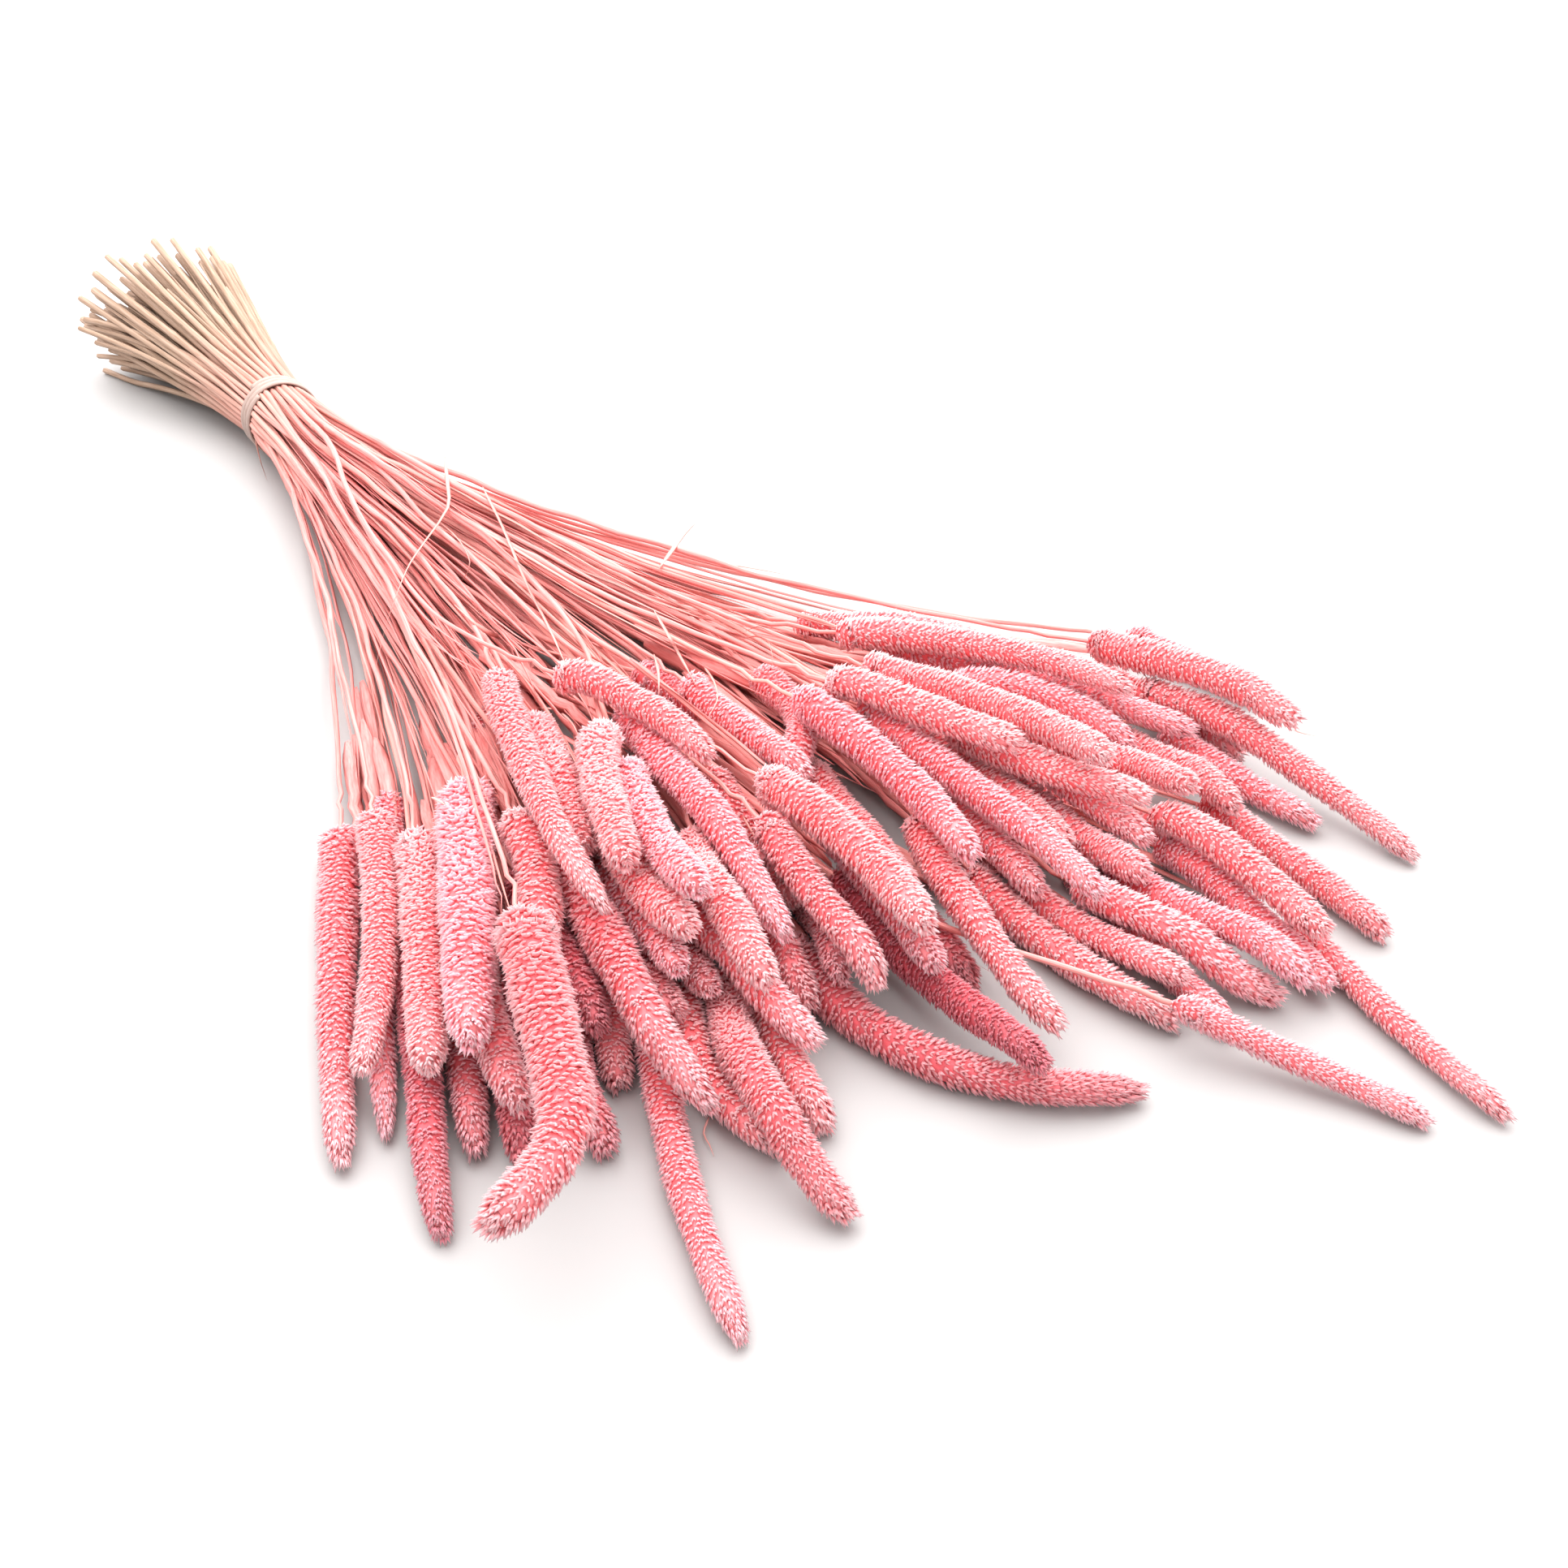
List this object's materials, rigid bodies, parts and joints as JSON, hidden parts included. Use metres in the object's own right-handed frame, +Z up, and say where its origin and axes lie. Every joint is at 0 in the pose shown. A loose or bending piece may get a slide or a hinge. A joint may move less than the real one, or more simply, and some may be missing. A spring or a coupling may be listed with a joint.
{
  "type": "dried timothy grass",
  "caption": "Tied bunch of pink dried timothy grass lying on its side, with slender stems and long cylindrical flower heads that fan out from a wound band.",
  "frame": {"origin": "middle of the small flat under the band, on the surface that the bunch lies on", "axes": "+Z up, +X along the bunch from the cut ends to the flower heads, +Y to the left of that"},
  "size_m": [0.6261, 0.3058, 0.0484],
  "materials": {
    "dried_grass": "dyed dried grass, matt: pink heads with pale tips and darker roots, cream to pink stems",
    "band": "pale elastic band wound round the stems"
  },
  "bodies": {
    "root": {"stalk_01": "dried_grass", "stalk_02": "dried_grass", "stalk_03": "dried_grass", "stalk_06": "dried_grass", "stalk_07": "dried_grass", "stalk_10": "dried_grass", "stalk_11": "dried_grass", "stalk_14": "dried_grass", "stalk_15": "dried_grass", "stalk_18": "dried_grass", "stalk_19": "dried_grass", "stalk_22": "dried_grass", "stalk_23": "dried_grass", "stalk_26": "dried_grass", "stalk_27": "dried_grass", "stalk_30": "dried_grass", "stalk_31": "dried_grass", "stalk_34": "dried_grass", "stalk_35": "dried_grass", "stalk_38": "dried_grass", "stalk_39": "dried_grass", "stalk_42": "dried_grass", "stalk_43": "dried_grass", "stalk_46": "dried_grass", "stalk_47": "dried_grass", "stalk_50": "dried_grass", "stalk_51": "dried_grass", "stalk_54": "dried_grass", "stalk_55": "dried_grass", "stalk_58": "dried_grass", "stalk_59": "dried_grass", "stalk_62": "dried_grass", "stalk_63": "dried_grass", "stalk_64": "dried_grass", "stalk_67": "dried_grass", "stalk_68": "dried_grass", "stalk_71": "dried_grass", "stalk_72": "dried_grass", "stalk_75": "dried_grass", "stalk_76": "dried_grass", "stalks_04_05": "dried_grass", "stalks_08_09": "dried_grass", "stalks_12_13": "dried_grass", "stalks_16_17": "dried_grass", "stalks_20_21": "dried_grass", "stalks_24_25": "dried_grass", "stalks_28_29": "dried_grass", "stalks_32_33": "dried_grass", "stalks_36_37": "dried_grass", "stalks_40_41": "dried_grass", "stalks_44_45": "dried_grass", "stalks_48_49": "dried_grass", "stalks_52_53": "dried_grass", "stalks_56_57": "dried_grass", "stalks_60_61": "dried_grass", "stalks_65_66": "dried_grass", "stalks_69_70": "dried_grass", "stalks_73_74": "dried_grass", "stalks_77_78": "dried_grass", "tie": "band"}
  },
  "joints": []
}
